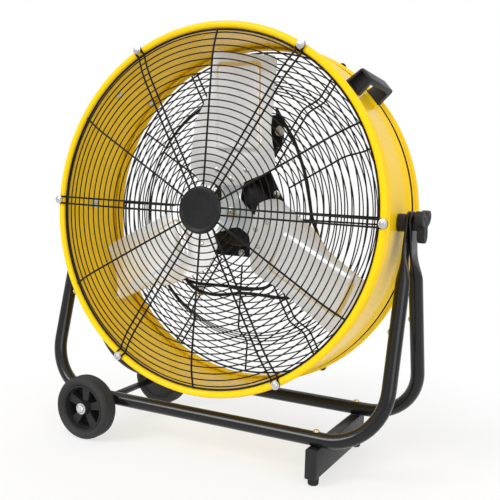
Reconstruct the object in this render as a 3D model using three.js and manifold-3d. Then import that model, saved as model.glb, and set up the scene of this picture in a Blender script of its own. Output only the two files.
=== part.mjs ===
// Drum fan on a wheeled tube stand, in millimetres, +Z up, the floor at z = 0.
// The air leaves towards -Y. The drum tilts about the X axis line at pivotHeight, the blades
// turn on the drum's own axis, and two wheels on the -X side turn on an axle along Y.

import * as THREE from "three";
import { mergeVertices } from "three/addons/utils/BufferGeometryUtils.js";
import Module from "manifold-3d";

const wasm = await Module();
wasm.setup();

// ---- driving dimensions ----------------------------------------------------------------
const gap = 0.3; // between pieces that touch
const pivotHeight = 452; // tilt axis above the floor
const restTilt = 4; // degrees, front of the drum up

// drum shell: a rolled steel sheet with a bead round each mouth
const beadRadius = 6.5;
const beadCentre = 333.5;
const wallOuter = 333;
const wallThickness = 1.6;
const panelSink = 1.8; // the wide middle of the wall lies this much deeper
const frontBeadY = -92;
const rearBeadY = 97;

// wire guards
const wireWidth = 3.2;
const loopHalfGap = 6.5; // half the spacing of a double spoke
const spokeCount = 12; // every second one is double
const frontGuardY = -107;
const frontRimY = -94;
const rimWireRadius = 323;
const clipRadius = 335.6;
const loopReach = 341.5;
const rearPanelY = 62; // recessed middle of the rear guard
const rearPanelRadius = 232;
const rearStepRadius = 264;
const capRadius = 40;

// rotor
const rotorY = 5; // middle of the blades
const bladePitch = 16.5;
const bladeTip = 302;
const bladeRoot = 52;
const bladeFlat = 100; // the blade is flat inside this radius, where it is riveted
const bladeThickness = 2;
const bladeTurn = 85.3; // direction of the upper blade at rest
const hubThickness = 3;
const shaftRadius = 6;

// motor and switch box
const motorRadius = 66;
const motorFrontY = 22;
const motorJointY = 96;
const motorRearY = 122;
const boxHalfWidth = 74;
const boxBottom = 131;
const boxTop = 193;
const boxDepth = 46;

// carrying handles
const handleAngle = 48; // from straight up, on each side
const handleFrontY = -53;
const handleRearY = 73;
const handleLeg = 25;
const handleBoltY = [-34, 54];
const handleTop = 369;
const handleGrip = 10; // thickness of the bar that the hand holds

// stand
const tubeRadius = 12.7;
const tubeWall = 1.5;
const tubeBend = 100;
const footprintY = 101; // lower tubes, from the middle
const lowerTubeZ = 79;
const frontHalfWidth = 351.4;
const rearHalfWidth = 359;
const seamZ = 285; // where the upper legs enter the lower frames
const frontEarX = 350.2; // middle of each flattened leg end
const rearEarX = 356.2;
const earHalfThickness = 2.8;
const earHalfWidth = 19;

// foot bar, feet, axle and wheels
const barX = 235.4;
const barWidth = 21;
const barHeight = 52.6;
const barHalfLength = 119.4;
const footHeight = 13;
const footY = 107;
const wheelX = -238;
const wheelRadius = 62;
const wheelInnerY = 114.2;
const wheelWidth = 36.4;
const wheelHubRadius = 45;
const axleRadius = 4;

const deg = Math.PI / 180;

// ---- finishes --------------------------------------------------------------------------
const finish = (color, roughness, metalness) =>
  new THREE.MeshStandardMaterial({ color, roughness, metalness });
const yellowPaint = finish(0xf2c318, 0.35, 0.1);
const blackPaint = finish(0x17181a, 0.35, 0.3);
const blackPlastic = finish(0x1c1d1f, 0.5, 0);
const blackRubber = finish(0x2b2c2e, 0.8, 0);
const aluminium = finish(0xc9c9c4, 0.35, 0.9);
const paleSteel = finish(0xaab4b8, 0.4, 0.6);
const zinc = finish(0xb9bcc0, 0.3, 0.9);
const brassZinc = finish(0xc2a870, 0.35, 0.8);

// ---- geometry helpers ------------------------------------------------------------------
const v2 = (x, y) => new THREE.Vector2(x, y);
const v3 = (x, y, z) => new THREE.Vector3(x, y, z);

// One vertex per place, so that neighbouring faces share their corners.
function weld(geometry) {
  const bare = geometry.index ? geometry.toNonIndexed() : geometry.clone();
  for (const name of Object.keys(bare.attributes)) {
    if (name !== "position") bare.deleteAttribute(name);
  }
  return mergeVertices(bare, 1e-3);
}

// Faces turned out, whichever way the outline ran.
function outward(geometry) {
  const welded = weld(geometry);
  const p = welded.attributes.position;
  const index = welded.index.array;
  const [a, b, c] = [v3(), v3(), v3()];
  const kept = [];
  let volume = 0;
  for (let i = 0; i < index.length; i += 3) {
    const [i0, i1, i2] = [index[i], index[i + 1], index[i + 2]];
    if (i0 === i1 || i1 === i2 || i0 === i2) continue;
    a.fromBufferAttribute(p, i0);
    b.fromBufferAttribute(p, i1);
    c.fromBufferAttribute(p, i2);
    volume += a.dot(b.cross(c));
    kept.push(i0, i1, i2);
  }
  if (volume < 0) kept.reverse();
  welded.setIndex(kept);
  return welded;
}

function toSolid(geometry) {
  const g = outward(geometry);
  return new wasm.Manifold(new wasm.Mesh({
    numProp: 3,
    vertProperties: new Float32Array(g.attributes.position.array),
    triVerts: new Uint32Array(g.index.array),
  }));
}

function fromSolid(solid) {
  const mesh = solid.getMesh();
  const g = new THREE.BufferGeometry();
  g.setAttribute("position", new THREE.BufferAttribute(new Float32Array(mesh.vertProperties), 3));
  g.setIndex(new THREE.BufferAttribute(new Uint32Array(mesh.triVerts), 1));
  return g;
}

const join = (first, ...rest) =>
  fromSolid(rest.reduce((sum, g) => sum.add(toSolid(g)), toSolid(first)));
const cut = (body, ...tools) =>
  fromSolid(tools.reduce((left, g) => left.subtract(toSolid(g)), toSolid(body)));

// A round piece about the Y axis from pairs of radius and y. An outline that doesn't start
// on the axis closes on itself.
function turned(outline, segments = 20) {
  const points = outline.map(([r, y]) => v2(r, y));
  if (outline[0][0] !== 0) points.push(points[0].clone());
  return outward(new THREE.LatheGeometry(points, segments));
}

// The same about the X axis, with x for y, and about the Z axis, with z for y.
const turnedX = (outline, segments) => turned(outline, segments).rotateZ(-90 * deg);
const turnedZ = (outline, segments) => turned(outline, segments).rotateX(90 * deg);

const rod = (radius, from, to, segments = 12) =>
  turned([[0, from], [radius, from], [radius, to], [0, to]], segments);
const rodX = (...args) => rod(...args).rotateZ(-90 * deg);
const rodZ = (...args) => rod(...args).rotateX(90 * deg);

const polygon = (points) => new THREE.Shape(points.map(([x, y]) => v2(x, y)));

const circle = (radius, sides, x = 0, y = 0) =>
  polygon(Array.from({ length: sides }, (_, i) => {
    const a = (2 * Math.PI * (i + 0.5)) / sides;
    return [x + radius * Math.cos(a), y + radius * Math.sin(a)];
  }));

function roundedRect(halfX, halfY, radius, steps = 2) {
  const points = [];
  for (const [sx, sy, start] of [[1, -1, -90], [1, 1, 0], [-1, 1, 90], [-1, -1, 180]]) {
    for (let i = 0; i <= steps; i++) {
      const a = (start + (90 * i) / steps) * deg;
      points.push([sx * (halfX - radius) + radius * Math.cos(a),
        sy * (halfY - radius) + radius * Math.sin(a)]);
    }
  }
  return polygon(points);
}

// Drawn in x and y, and pulled out along z from 0 to depth.
function extrude(shape, depth, bevel = 0) {
  const bevels = { bevelEnabled: bevel > 0, bevelThickness: bevel, bevelSize: bevel,
    bevelOffset: -bevel, bevelSegments: 1 };
  return outward(new THREE.ExtrudeGeometry(shape, { depth: depth - 2 * bevel, ...bevels })
    .translate(0, 0, bevel));
}

// Drawn in x and z, and lying between two places on the Y axis.
const slab = (shape, fromY, toY, bevel = 0) =>
  extrude(shape, toY - fromY, bevel).rotateX(90 * deg).translate(0, toY, 0);

// The centre line of a bent tube, straight between its stations.
class Route extends THREE.Curve {
  constructor(stations) {
    super();
    this.stations = stations;
  }
  getPoint(t, target = v3()) {
    const last = this.stations.length - 1;
    const i = Math.min(Math.floor(t * last + 1e-9), last - 1);
    return target.lerpVectors(this.stations[i], this.stations[i + 1], t * last - i);
  }
  getPointAt(t, target) {
    return this.getPoint(t, target);
  }
  getTangentAt(t, target = v3()) {
    const i = Math.round(t * (this.stations.length - 1));
    const before = this.stations[Math.max(i - 1, 0)];
    const after = this.stations[Math.min(i + 1, this.stations.length - 1)];
    return target.subVectors(after, before).normalize();
  }
}

const sweep = (section, stations) => outward(new THREE.ExtrudeGeometry(section, {
  steps: stations.length - 1, bevelEnabled: false, extrudePath: new Route(stations) }));

// Skin over sections that all have the same number of corners.
function loft(sections) {
  const n = sections[0].length;
  const index = [];
  for (let s = 0; s + 1 < sections.length; s++) {
    for (let i = 0; i < n; i++) {
      const [a, b] = [s * n + i, s * n + ((i + 1) % n)];
      index.push(a, b, b + n, a, b + n, a + n);
    }
  }
  const end = (sections.length - 1) * n;
  for (let i = 1; i + 1 < n; i++) index.push(0, i + 1, i, end, end + i, end + i + 1);
  const g = new THREE.BufferGeometry().setFromPoints(sections.flat());
  g.setIndex(index);
  return outward(g);
}

// A thin sheet made of four-cornered cells. A corner is [name, front point, back point], and
// a wall closes every side that only one cell has.
function sheetOfCells(cells) {
  const numbers = new Map();
  const points = [];
  const number = ([name, front, back]) => {
    if (!numbers.has(name)) {
      numbers.set(name, points.length);
      points.push(front, back);
    }
    return numbers.get(name);
  };
  const open = new Map();
  const index = [];
  for (const cell of cells) {
    const [a, b, c, d] = cell.map(number);
    index.push(a, b, c, a, c, d, a + 1, c + 1, b + 1, a + 1, d + 1, c + 1);
    for (const [p, q] of [[a, b], [b, c], [c, d], [d, a]]) {
      if (!open.delete(`${q}_${p}`)) open.set(`${p}_${q}`, [p, q]);
    }
  }
  for (const [p, q] of open.values()) index.push(q, p, p + 1, q, p + 1, q + 1);
  const g = new THREE.BufferGeometry().setFromPoints(points);
  g.setIndex(index);
  return outward(g);
}

// Cells between neighbouring rows and columns of a grid of corners.
function gridCells(rows, columns, corner) {
  const cells = [];
  for (let i = 0; i + 1 < rows; i++) {
    for (let j = 0; j + 1 < columns; j++) {
      cells.push([corner(i, j), corner(i + 1, j), corner(i + 1, j + 1), corner(i, j + 1)]);
    }
  }
  return cells;
}

const smooth = (x) => {
  const t = Math.min(1, Math.max(0, x));
  return t * t * (3 - 2 * t);
};

// ---- assembly --------------------------------------------------------------------------
const fan = new THREE.Group();
const drum = new THREE.Group(); // everything that tilts; its Y axis is the air's axis
drum.position.z = pivotHeight;
drum.rotation.x = -restTilt * deg;
fan.add(drum);

function add(parent, name, geometry, material) {
  const mesh = new THREE.Mesh(geometry, material);
  mesh.name = name;
  parent.add(mesh);
}

const handSides = [["right", 1], ["left", -1]]; // along X, seen from the front
const depthSides = [["front", -1], ["rear", 1]]; // along Y

// ---- drum shell ------------------------------------------------------------------------
const panelRadius = wallOuter - panelSink;
const panelInner = panelRadius - wallThickness;
const headSeat = panelInner - 1.4; // bolt heads clear the flats of the wall

function beadArc(centreY, fromAngle, toAngle) {
  const steps = 5;
  return Array.from({ length: steps + 1 }, (_, i) => {
    const a = (fromAngle + ((toAngle - fromAngle) * i) / steps) * deg;
    return [beadCentre + beadRadius * Math.cos(a), centreY + beadRadius * Math.sin(a)];
  });
}

// The sheet lies between the beads: a wide sunk panel, then a crease near the rear.
function drumShell() {
  const wall = (inset) => [[0, -76], [-panelSink, -72], [-panelSink, 74], [0, 78],
    [-2.6, 83], [0, 87]].map(([rise, y]) => [wallOuter - inset + rise, y]);
  const profile = [
    ...beadArc(frontBeadY, 426, 106), ...wall(wallThickness),
    ...beadArc(rearBeadY, 254, -66), ...wall(0).reverse(),
  ];
  const holes = handSides.flatMap(([, side]) => [
    rodX(5.9, side * 300, side * 345, 8),
    ...handleBoltY.map((y) => onHandle(rodZ(3.6, 300, 345, 8), side, y)),
  ]);
  return cut(turned(profile, 40), ...holes);
}

// ---- carrying handles ------------------------------------------------------------------
// A piece drawn about the Z axis goes to the handle's place on the drum.
const onHandle = (geometry, side, y) =>
  geometry.translate(0, y, 0).rotateY(side * handleAngle * deg);

// A moulded bridge: two legs that are hollow from their outer faces, and a grip with
// chamfered edges. It narrows a little towards the top.
function handle(side) {
  const foot = panelRadius + gap + 0.3;
  const under = handleTop - handleGrip;
  const [baseHalf, topHalf] = [17, 14];
  const [front, rear] = [handleFrontY, handleRearY];
  const arch = polygon([
    [front, foot], [front, handleTop - 3], [front + 3, handleTop],
    [rear - 3, handleTop], [rear, handleTop - 3], [rear, foot],
    [rear - handleLeg, foot], [rear - handleLeg, under - 5], [rear - handleLeg - 7, under],
    [front + handleLeg + 7, under], [front + handleLeg, under - 5], [front + handleLeg, foot],
  ]);
  const body = extrude(arch, 2 * baseHalf, 2.5).translate(0, 0, -baseHalf);
  const p = body.attributes.position;
  for (let i = 0; i < p.count; i++) {
    const rise = (p.getY(i) - foot) / (handleTop - foot);
    p.setZ(i, p.getZ(i) * (1 + rise * (topHalf / baseHalf - 1)));
  }
  const pocket = (y) => new THREE.BoxGeometry(24, handleTop - foot - 8, 21)
    .translate(y, (handleTop + foot) / 2, 0);
  const moulded = cut(body, pocket(front), pocket(rear));
  // the drawing's x, y and z are the drum's depth, radius and width
  moulded.applyMatrix4(new THREE.Matrix4().makeBasis(v3(0, 1, 0), v3(0, 0, 1), v3(1, 0, 0)));
  const bores = handleBoltY.map((y) => rodZ(3.4, foot - 5, foot + 14, 8).translate(0, y, 0));
  return onHandle(cut(moulded, ...bores), side, 0);
}

// The head is inside the drum, and the thread ends in the handle's leg.
const handleScrew = (side, y) => onHandle(turnedZ([[0, headSeat - 3.6], [4, headSeat - 3.2],
  [6, headSeat], [2.8, headSeat], [2.8, panelRadius + 12], [0, panelRadius + 12]], 6), side, y);

// ---- wire guards -----------------------------------------------------------------------
// One welded net: rings, single spokes, and double spokes whose two wires bend round a
// screw beyond the rim. axial gives the wires' place on the Y axis at a radius.
function wireGuard(rings, axial) {
  const half = wireWidth / 2;
  const wires = Array.from({ length: spokeCount }, (_, k) => (k * 360) / spokeCount)
    .flatMap((angle, k) => (k % 2 === 0 ? [-loopHalfGap, loopHalfGap] : [0])
      .map((offset) => ({ angle, offset, double: k % 2 === 0 })));
  const corner = (r, angle, name) => {
    const [x, z] = [r * Math.cos(angle), r * Math.sin(angle)];
    return [`${r}:${name}`, v3(x, axial(r) - half, z), v3(x, axial(r) + half, z)];
  };
  const edge = (r, w, side) =>
    wires[w].angle * deg + Math.asin((wires[w].offset + side * half) / r);
  const at = (r, w, side) => corner(r, edge(r, w, side), `${w}:${side}`);
  const cells = [];
  const wire = (w, from, to) =>
    cells.push([at(from, w, -1), at(to, w, -1), at(to, w, 1), at(from, w, 1)]);
  rings.forEach((ring, i) => {
    const [r0, r1] = [ring - half, ring + half];
    wires.forEach((spoke, w) => {
      wire(w, r0, r1);
      if (i + 1 < rings.length) wire(w, r1, rings[i + 1] - half);
      // the stretch of ring as far as the next wire
      const next = (w + 1) % wires.length;
      const parts = wires[next].angle === spoke.angle || ring < 160 ? 1 : 2;
      const wrap = next === 0 ? 2 * Math.PI : 0;
      const step = (r, k) => {
        if (k === 0) return at(r, w, 1);
        if (k === parts) return at(r, next, -1);
        const [from, to] = [edge(r, w, 1), edge(r, next, -1) + wrap];
        return corner(r, from + ((to - from) * k) / parts, `${w}:mid${k}`);
      };
      for (let k = 0; k < parts; k++) {
        cells.push([step(r0, k), step(r1, k), step(r1, k + 1), step(r0, k + 1)]);
      }
    });
  });
  // double spokes go on over the bead, and a bend joins each pair
  const rim = rings.at(-1) + half;
  const beyond = [rim, rim + 2, loopReach - wireWidth, loopReach];
  wires.forEach((spoke, w) => {
    if (!spoke.double) return;
    for (let k = 0; k < 3; k++) wire(w, beyond[k], beyond[k + 1]);
    if (spoke.offset > 0) return;
    const [r0, r1] = beyond.slice(2);
    cells.push([at(r0, w, 1), at(r1, w, 1), at(r1, w + 1, -1), at(r0, w + 1, -1)]);
  });
  return sheetOfCells(cells);
}

const frontLoopY = frontBeadY - beadRadius - gap - wireWidth / 2;
const rearLoopY = rearBeadY + beadRadius + gap + wireWidth / 2;

function frontGuardAxial(r) {
  if (r > rimWireRadius + wireWidth) return frontLoopY;
  const edge = Math.max(0, (r - 240) / (rimWireRadius - 240));
  return frontGuardY + (frontRimY - frontGuardY) * edge * edge;
}

function rearGuardAxial(r) {
  const cone = (r - rearPanelRadius - 2) / (rearStepRadius - rearPanelRadius - 4);
  return rearPanelY + (rearLoopY - rearPanelY) * Math.min(1, Math.max(0, cone));
}

// A washer and a domed head on the wire loop; the shank reaches the bead.
function clipScrew(angle) {
  const face = frontLoopY - wireWidth / 2 - gap;
  const seat = frontBeadY - beadRadius - gap;
  return turned([[0, seat], [2.3, seat], [2.3, face], [8, face], [8, face - 1.5],
    [0, face - 4.6]], 8)
    .translate(clipRadius * Math.cos(angle), 0, clipRadius * Math.sin(angle));
}

function centreCap() {
  const back = frontGuardY - wireWidth / 2 - gap;
  return turned([[0, back], [38, back], [capRadius, back - 3], [capRadius, back - 6],
    [37, back - 9], [33.5, back - 9], [31, back - 6.5], [0, back - 6.5]], 24);
}

// ---- rotor -----------------------------------------------------------------------------
// Both edges of a blade at a radius, measured across it.
function bladeEdges(r) {
  const leadingEase = smooth((r - 40) / 56);
  const leading = (-72 + 27 * Math.max(0, (r - 90) / 210) ** 2) * leadingEase;
  const trailing = (93 - 17 * smooth((r - 155) / 65)) * Math.sqrt(smooth((r - 26) / 64));
  const rounding = 12 * (1 - Math.sqrt(Math.max(0, 1 - Math.max(0, (r - 288) / 15) ** 2)));
  return [leading + rounding, trailing - rounding];
}

// A point of the blade: radius, place across it, and height off its middle towards the front.
function bladePoint(r, s, raise) {
  const [leading, trailing] = bladeEdges(Math.max(r, bladeFlat));
  const across = (2 * s - leading - trailing) / (trailing - leading);
  const camber = (9 * (1 - across * across) - 4) * smooth((r - bladeFlat) / 40);
  const untwist = 6 * Math.max(0, (r - bladeFlat) / (bladeTip - bladeFlat));
  const a = (bladePitch + 2 - untwist) * deg;
  const n = camber - raise;
  return v3(r, n * Math.cos(a) - s * Math.sin(a), s * Math.cos(a) + n * Math.sin(a));
}

// The stiffening panel is a raised rectangle that lies a little askew along the blade.
const panelFrom = 119;
const panelTo = 281;
const panelHeight = 3;

function blade() {
  const rows = [bladeRoot, 62, 78, bladeFlat, panelFrom - 3, panelFrom + 3, 200,
    panelTo - 3, panelTo + 3, 292, bladeTip];
  const corner = (i, j) => {
    const skew = (21 * (rows[i] - panelFrom)) / (panelTo - panelFrom);
    const [leading, trailing] = bladeEdges(rows[i]);
    const s = [leading, skew - 43, skew - 37, skew + 2.5, skew + 42, skew + 48, trailing][j];
    const held = Math.min(Math.max(s, leading + j), trailing - (6 - j));
    const raised = i > 4 && i < 8 && j > 1 && j < 5 ? panelHeight : 0;
    // the inner end is cut a little aslant
    const r = i === 0 ? bladeRoot - 0.15 * held : rows[i];
    return [`${i}:${j}`, bladePoint(r, held, raised + bladeThickness / 2),
      bladePoint(r, held, raised - bladeThickness / 2)];
  };
  return sheetOfCells(gridCells(rows.length, 7, corner));
}

// Three arms of one pressed plate, twisted to the blades' pitch, behind the blades' roots.
const hubSeat = bladeThickness / 2 + gap; // front of the plate, behind the blades' middle

function hubPlate() {
  const armEnd = 94;
  const rows = [6, 28, 44, 70, armEnd];
  const corner = (i, j) => {
    const r = rows[i];
    const widen = Math.max(0, (r - bladeRoot) / (armEnd - bladeRoot));
    const s = j === 0 ? -13 - 14 * widen : 26 + 21 * widen;
    const twist = smooth((r - 24) / 20);
    const behind = (depth) => v3(r, depth, s).lerp(bladePoint(r, s, -depth).setX(r), twist);
    return [`${i}:${j}`, behind(hubSeat), behind(hubSeat + hubThickness)];
  };
  const arms = [0, 120, 240].map((angle) =>
    sheetOfCells(gridCells(rows.length, 2, corner)).rotateY(-angle * deg));
  const disc = rod(30, hubSeat, hubSeat + hubThickness, 20);
  const sleeve = rod(14, hubSeat, 9.5, 12);
  return cut(join(disc, sleeve, ...arms), rod(shaftRadius + gap + 0.2, -40, 40, 12));
}

function hubNut() {
  const seat = hubSeat - gap;
  const hex = turned([[0, seat], [10.5, seat], [10.5, seat - 7], [9.5, seat - 8.5],
    [0, seat - 8.5]], 6);
  return cut(hex, rod(shaftRadius + gap + 0.2, -40, 40, 12));
}

// ---- motor, its plate and the switch box -----------------------------------------------
const guardFront = rearPanelY - wireWidth / 2;
const guardRear = rearPanelY + wireWidth / 2;
const plateRear = guardFront - gap;
const plateFront = plateRear - 3;

// The shell steps out behind the plate, so that the plate rests on a shoulder.
const shoulder = motorRadius + 4;

function motorShell() {
  const shell = turned([
    [0, motorFrontY - 6], [18, motorFrontY - 6], [20, motorFrontY], [50, motorFrontY + 2],
    [motorRadius - 3, motorFrontY + 8], [motorRadius, motorFrontY + 16],
    [motorRadius, plateRear + gap], [shoulder, plateRear + gap], [shoulder, motorJointY],
    [0, motorJointY],
  ]);
  return cut(shell, rod(shaftRadius + gap + 0.2, -10, motorFrontY + 26, 12));
}

function motorRearBell() {
  const start = motorJointY + gap;
  return turned([
    [0, start], [shoulder, start], [shoulder, start + 8], [shoulder - 5, start + 15],
    [46, motorRearY - 3], [20, motorRearY], [17, motorRearY + 4], [0, motorRearY + 4],
  ]);
}

// A three-cornered plate, cut off at the corners, that holds the motor in the guard.
function motorPlate() {
  const [flat, corner] = [87, 118];
  const half = Math.acos(flat / corner) / deg;
  const shape = polygon([30, 150, 270].flatMap((middle) =>
    [middle - half, middle + half].map((a) =>
      [corner * Math.cos(a * deg), corner * Math.sin(a * deg)])));
  shape.holes.push(circle(motorRadius + 1.2, 20));
  return slab(shape, plateFront, plateRear);
}

const boxMiddle = (boxTop + boxBottom) / 2;
const boxRear = guardRear + gap + boxDepth;

const switchBox = () => slab(roundedRect(boxHalfWidth, (boxTop - boxBottom) / 2, 7),
  guardRear + gap, boxRear, 2.5).translate(0, 0, boxMiddle);

// The strap on the inner side of the guard that the box is screwed to.
const clampScrewX = 66;
function clampPlate() {
  const [w, h, chamfer] = [boxHalfWidth - 1, (boxTop - boxBottom) / 2, 14];
  const shape = polygon([[w, -h], [w, h - chamfer], [w - chamfer, h], [chamfer - w, h],
    [-w, h - chamfer], [-w, -h]]);
  for (const x of [-clampScrewX, clampScrewX]) shape.holes.push(circle(3.6, 8, x, 0));
  return slab(shape, plateFront, plateRear).translate(0, 0, boxMiddle);
}

// Washer and hexagon head in front of the strap; the shank goes between the wires to the box.
function clampScrew(x) {
  const face = plateFront - gap;
  return turned([[0, guardRear], [3, guardRear], [3, face], [10, face], [10, face - 1.6],
    [5.5, face - 5], [0, face - 5.5]], 10).translate(x, 0, boxMiddle);
}

function speedKnob() {
  const seat = boxRear + gap;
  const dial = turned([[0, seat], [19, seat], [18, seat + 5], [0, seat + 5]], 16);
  const grip = slab(roundedRect(5, 17, 3), seat + 4, seat + 17, 1);
  return join(dial, grip).translate(0, 0, boxMiddle);
}

const cordGland = () => turnedZ([[4, boxBottom - 16], [8, boxBottom - 16], [10, boxBottom - 8],
  [10, boxBottom - gap], [4, boxBottom - gap]], 10).translate(40, boxRear - boxDepth / 2, 0);

// The motor's lead leaves the top of the box, comes through the guard, and lies against its
// inner side down the right, along the bottom, round a loop at the left and to the motor.
const leadRadius = 3;
const leadY = guardFront - gap - leadRadius;
const leadStops = [
  [62, 20, boxTop + gap], [62, 20, 199], [63, 14, 206], [68, 5, 208], [76, 0, 200],
  [88, 0, 178], [100, 0, 148], [112, 0, 116], [127, 0, 79], [138, 0, 37], [148, 0, -10],
  [160, 0, -45], [163, 0, -85], [148, 0, -128], [118, 0, -154], [80, 0, -162], [30, 0, -160],
  [-10, 0, -162], [-50, 0, -169], [-85, 0, -170], [-120, -3, -164], [-155, -6, -150],
  [-182, -8, -128], [-192, -9, -102], [-178, -9, -84], [-158, -9, -88], [-146, -8, -110],
  [-136, -5, -132], [-118, -1, -146], [-80, 0, -150], [-28, 0, -149], [24, 0, -149],
  [58, 0, -143], [74, -2, -126], [74, -6, -104], [60, -8, -86], [47, -8, -67], [38, -8, -54.2],
];

const motorLead = () =>
  sweep(circle(leadRadius, 6), leadStops.map(([x, y, z]) => v3(x, leadY + y, z)));

// ---- stand -----------------------------------------------------------------------------
// Each pair of legs and its lower frame lie in a plane that leans out from the pivot. along
// is the distance below the pivot in that plane.
const legLength = Math.hypot(footprintY, pivotHeight - lowerTubeZ);
const legPoint = (x, side, along) => v3(x, (side * footprintY * along) / legLength,
  pivotHeight - ((pivotHeight - lowerTubeZ) * along) / legLength);
const seamAlong = ((pivotHeight - seamZ) / (pivotHeight - lowerTubeZ)) * legLength;
const tubeSides = 10;

function lowerFrame(side, halfWidth) {
  const bendSteps = 4;
  const bend = (sign) => Array.from({ length: bendSteps + 1 }, (_, k) => {
    const a = (k / bendSteps) * 90 * deg;
    return legPoint(sign * (halfWidth - tubeBend + tubeBend * Math.cos(a)), side,
      legLength - tubeBend + tubeBend * Math.sin(a));
  });
  const section = circle(tubeRadius, tubeSides);
  section.holes.push(circle(tubeRadius - tubeWall, tubeSides));
  return sweep(section, [legPoint(halfWidth, side, seamAlong + gap), ...bend(1),
    ...bend(-1).reverse(), legPoint(-halfWidth, side, seamAlong + gap)]);
}

// A spigot for the lower frame, a round tube, and a flattened, drilled ear at the pivot.
function upperLeg(side, sign, tubeX, earX) {
  const spigot = tubeRadius - tubeWall - gap;
  // distance below the pivot, half thickness, half width, share of the way to a flat ear
  const stages = [
    [seamAlong + 42, spigot, spigot, 0], [seamAlong, spigot, spigot, 0],
    [seamAlong, tubeRadius, tubeRadius, 0], [90, tubeRadius, tubeRadius, 0],
    [74, 9, 14.6, 0.35], [60, 3.6, 18, 0.92], [52, earHalfThickness, earHalfWidth, 1],
    [0, earHalfThickness, earHalfWidth, 1], [-11, earHalfThickness, 15.5, 1],
    [-19, earHalfThickness, 4, 1],
  ];
  const across = v3(0, pivotHeight - lowerTubeZ, side * footprintY).normalize();
  const power = (value, exponent) => Math.sign(value) * Math.abs(value) ** exponent;
  const leg = loft(stages.map(([along, thick, wide, flatness]) => {
    const middle = legPoint(sign * (tubeX + (earX - tubeX) * flatness), side, along);
    return Array.from({ length: tubeSides }, (_, i) => {
      const a = (2 * Math.PI * (i + 0.5)) / tubeSides;
      return middle.clone().add(v3(thick * power(Math.cos(a), 1 - 0.7 * flatness), 0, 0))
        .addScaledVector(across, wide * power(Math.sin(a), 1 - 0.3 * flatness));
    });
  }));
  return cut(leg, rodX(5.6, -20, 20, 12).translate(sign * earX, 0, pivotHeight));
}

const barZ = footHeight + gap + barHeight / 2;

function footBar() {
  const section = roundedRect(barWidth / 2, barHeight / 2, 2);
  section.holes.push(roundedRect(barWidth / 2 - 1.6, barHeight / 2 - 1.6, 1));
  return slab(section, -barHalfLength, barHalfLength).translate(barX, 0, barZ);
}

function barPlug(side) {
  const face = barHalfLength + gap;
  const flange = slab(roundedRect(barWidth / 2, barHeight / 2, 2), face, face + 3, 0.8);
  const core = new THREE.BoxGeometry(barWidth - 4.6, 14, barHeight - 4.6).translate(0, face - 6, 0);
  const plug = join(flange, core);
  if (side < 0) plug.rotateZ(180 * deg);
  return plug.translate(barX, 0, barZ);
}

const rubberFoot = (side) => turnedZ([[0, 0], [8, 0], [9.5, 2], [10, footHeight],
  [0, footHeight]], 12).translate(barX, side * footY, 0);

// A round-headed bolt down through a lower tube into the bar; only its head stands out.
function barBolt(side) {
  const top = lowerTubeZ + tubeRadius + gap;
  return turnedZ([[0, top], [5.5, top], [5.5, top + 1.4], [3.5, top + 3.8], [0, top + 4.4]], 8)
    .translate(barX, side * footprintY, 0);
}

// A rod right across, in a spacer tube between the lower frames.
function axle() {
  const end = wheelInnerY + wheelWidth + 1;
  const spacerEnd = footprintY - tubeRadius - 1;
  return turned([[0, -end], [axleRadius, -end], [axleRadius, -spacerEnd], [7, -spacerEnd],
    [7, spacerEnd], [axleRadius, spacerEnd], [axleRadius, end], [0, end]], 12)
    .translate(wheelX, 0, wheelRadius);
}

function axleCap(side) {
  const face = wheelInnerY + wheelWidth - 4 + gap;
  const bore = axleRadius + gap + 0.2;
  return turned([[bore, face], [11, face], [11, face + 2.5], [8, face + 6], [0, face + 7],
    [0, face + 5.4], [bore, face + 5.4]].map(([r, y]) => [r, side * y]), 12)
    .translate(wheelX, 0, wheelRadius);
}

// ---- wheels ----------------------------------------------------------------------------
const wheelMiddle = wheelInnerY + wheelWidth / 2;

// A wheel piece from a section about the wheel's own middle, on either side of the stand.
const wheelRound = (section, side, segments) =>
  turned(section.map(([r, y]) => [r, side * (wheelMiddle + y)]), segments)
    .translate(wheelX, 0, wheelRadius);

function tyre(side) {
  const w = wheelWidth / 2;
  const [bore, tread, groove] = [wheelHubRadius + 0.7, wheelRadius, wheelRadius - 1.6];
  return wheelRound([[bore, -w + 5], [tread - 9, -w], [tread - 1, -w + 5], [tread, -5],
    [groove, -3.5], [groove, 3.5], [tread, 5], [tread - 1, w - 5], [tread - 9, w],
    [bore, w - 5]], side, 24);
}

// Five broad spokes between the boss and the rim, with wedge openings right through.
function wheelHub(side) {
  const w = wheelWidth / 2;
  const bore = axleRadius + gap + 0.2;
  const rim = wheelHubRadius;
  const body = wheelRound([[bore, gap - w], [13, gap - w], [14, -7], [rim - 5, -7],
    [rim, -w + 5], [rim, w - 5], [rim - 5, 3], [14, 3], [13, w - 4], [bore, w - 4]], side, 20);
  const windows = Array.from({ length: 5 }, (_, i) =>
    slab(polygon([[16.5, -2], [34, -11.5], [36.5, 0], [34, 11.5], [16.5, 2]]),
      side * wheelMiddle - 30, side * wheelMiddle + 30)
      .rotateY((72 * i + 14) * deg).translate(wheelX, 0, wheelRadius));
  return cut(body, ...windows);
}

// ---- pivots and knobs ------------------------------------------------------------------
// Drawn for the right side, at the height of the tilt axis.
function spacer() {
  const [inner, outer] = [panelRadius + 0.5, frontEarX - earHalfThickness - gap];
  return turnedX([[5.6, inner], [15.5, inner], [15.5, outer], [5.6, outer]], 16);
}

// A round-headed bolt from inside the drum, through spacer and leg ears, into the knob.
const pivotBolt = () => turnedX([[0, headSeat - 4], [6, headSeat - 3.4], [9.5, headSeat],
  [5, headSeat], [5, 378], [0, 378]], 12);

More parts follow.
